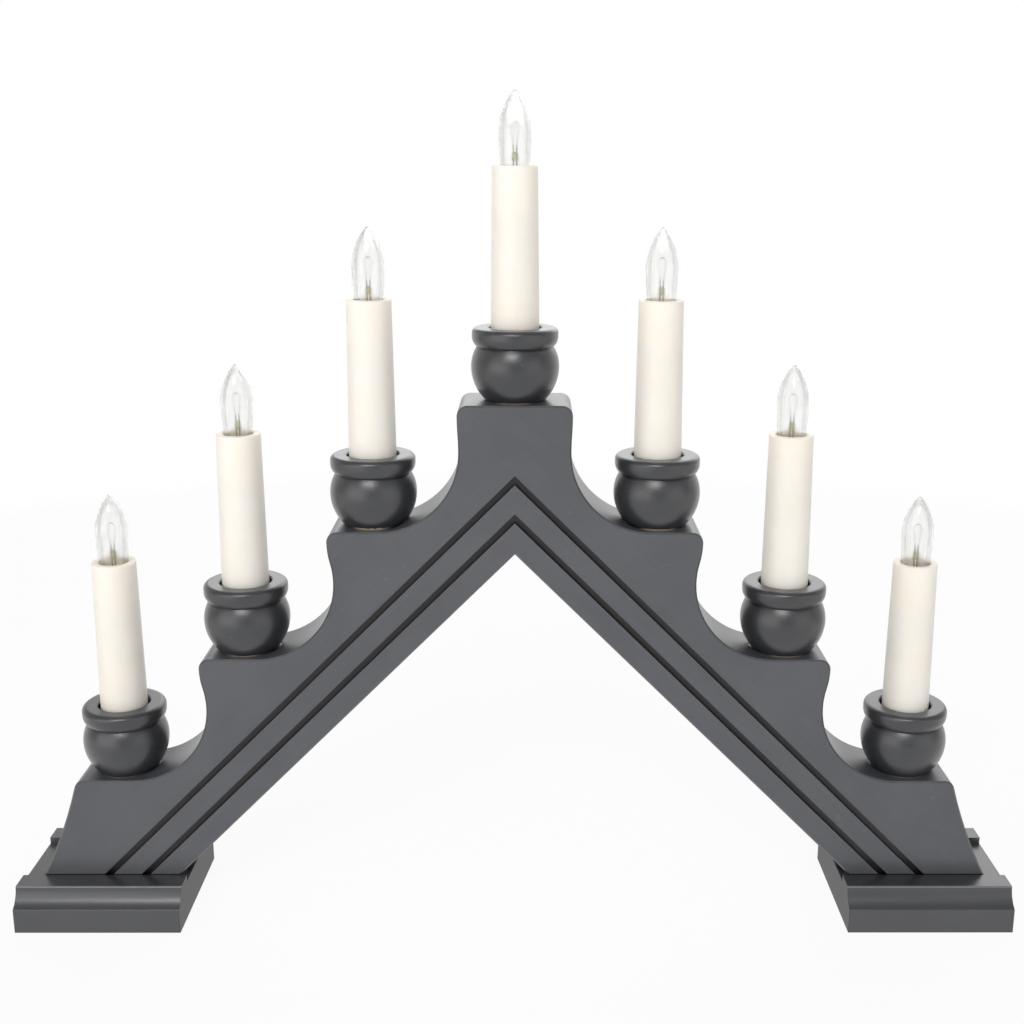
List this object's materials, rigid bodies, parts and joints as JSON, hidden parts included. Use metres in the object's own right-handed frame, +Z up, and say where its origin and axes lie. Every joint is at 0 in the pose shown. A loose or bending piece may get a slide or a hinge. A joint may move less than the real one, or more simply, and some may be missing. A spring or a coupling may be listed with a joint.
{
  "type": "candle arch",
  "caption": "Stepped inverted-V wooden candle arch on two moulded feet, with turned cups, ivory candle sleeves and small pointed screw-in lamps for a window sill.",
  "frame": {"origin": "on the floor under the apex, midway between the feet", "axes": "+X to the viewer's right along the arch, +Y to the back, +Z up; the grooved front faces -Y"},
  "size_m": [0.4342, 0.062, 0.3542],
  "materials": {
    "painted_wood": "dark grey satin paint",
    "bare_wood": "bare beech",
    "ivory_plastic": "ivory, semi-gloss",
    "clear_glass": "clear",
    "cap_metal": "nickel-plated brass",
    "lead_wire": "drawn wire",
    "shell_brass": "pressed brass",
    "screw_steel": "zinc plated",
    "wire_insulation": "white PVC"
  },
  "bodies": {
    "arch": {"arm_left": "painted_wood", "arm_right": "painted_wood", "contact_rivets": "shell_brass", "cup_1": "painted_wood", "cup_2": "painted_wood", "cup_3": "painted_wood", "cup_4": "painted_wood", "cup_5": "painted_wood", "cup_6": "painted_wood", "cup_7": "painted_wood", "foot_left": "painted_wood", "foot_right": "painted_wood", "foot_screws": "screw_steel", "holder_1": "shell_brass", "holder_2": "shell_brass", "holder_3": "shell_brass", "holder_4": "shell_brass", "holder_5": "shell_brass", "holder_6": "shell_brass", "holder_7": "shell_brass", "mitre_dowels": "bare_wood", "sleeve_1": "ivory_plastic", "sleeve_2": "ivory_plastic", "sleeve_3": "ivory_plastic", "sleeve_4": "ivory_plastic", "sleeve_5": "ivory_plastic", "sleeve_6": "ivory_plastic", "sleeve_7": "ivory_plastic", "wire_1_2": "wire_insulation", "wire_2_3": "wire_insulation", "wire_3_4": "wire_insulation", "wire_4_5": "wire_insulation", "wire_5_6": "wire_insulation", "wire_6_7": "wire_insulation", "wire_feed": "wire_insulation", "wire_return": "wire_insulation"},
    "bulb_1": {"bulb_glass_1": "clear_glass", "bulb_cap_1": "cap_metal", "filament_1": "lead_wire"},
    "bulb_2": {"bulb_glass_2": "clear_glass", "bulb_cap_2": "cap_metal", "filament_2": "lead_wire"},
    "bulb_3": {"bulb_glass_3": "clear_glass", "bulb_cap_3": "cap_metal", "filament_3": "lead_wire"},
    "bulb_4": {"bulb_glass_4": "clear_glass", "bulb_cap_4": "cap_metal", "filament_4": "lead_wire"},
    "bulb_5": {"bulb_glass_5": "clear_glass", "bulb_cap_5": "cap_metal", "filament_5": "lead_wire"},
    "bulb_6": {"bulb_glass_6": "clear_glass", "bulb_cap_6": "cap_metal", "filament_6": "lead_wire"},
    "bulb_7": {"bulb_glass_7": "clear_glass", "bulb_cap_7": "cap_metal", "filament_7": "lead_wire"}
  },
  "joints": [
    {"name": "bulb_1_screw", "type": "hinge", "parent": "arch", "child": "bulb_1", "pos_m": [-0.1724, 0, 0.1541], "axis": [0, 0, 1], "range_deg": [0, 1620]},
    {"name": "bulb_2_screw", "type": "hinge", "parent": "arch", "child": "bulb_2", "pos_m": [-0.1162, 0, 0.2103], "axis": [0, 0, 1], "range_deg": [0, 1620]},
    {"name": "bulb_3_screw", "type": "hinge", "parent": "arch", "child": "bulb_3", "pos_m": [-0.06, 0, 0.2665], "axis": [0, 0, 1], "range_deg": [0, 1620]},
    {"name": "bulb_4_screw", "type": "hinge", "parent": "arch", "child": "bulb_4", "pos_m": [0, 0, 0.32], "axis": [0, 0, 1], "range_deg": [0, 1620]},
    {"name": "bulb_5_screw", "type": "hinge", "parent": "arch", "child": "bulb_5", "pos_m": [0.06, 0, 0.2665], "axis": [0, 0, 1], "range_deg": [0, 1620]},
    {"name": "bulb_6_screw", "type": "hinge", "parent": "arch", "child": "bulb_6", "pos_m": [0.1162, 0, 0.2103], "axis": [0, 0, 1], "range_deg": [0, 1620]},
    {"name": "bulb_7_screw", "type": "hinge", "parent": "arch", "child": "bulb_7", "pos_m": [0.1724, 0, 0.1541], "axis": [0, 0, 1], "range_deg": [0, 1620]}
  ]
}
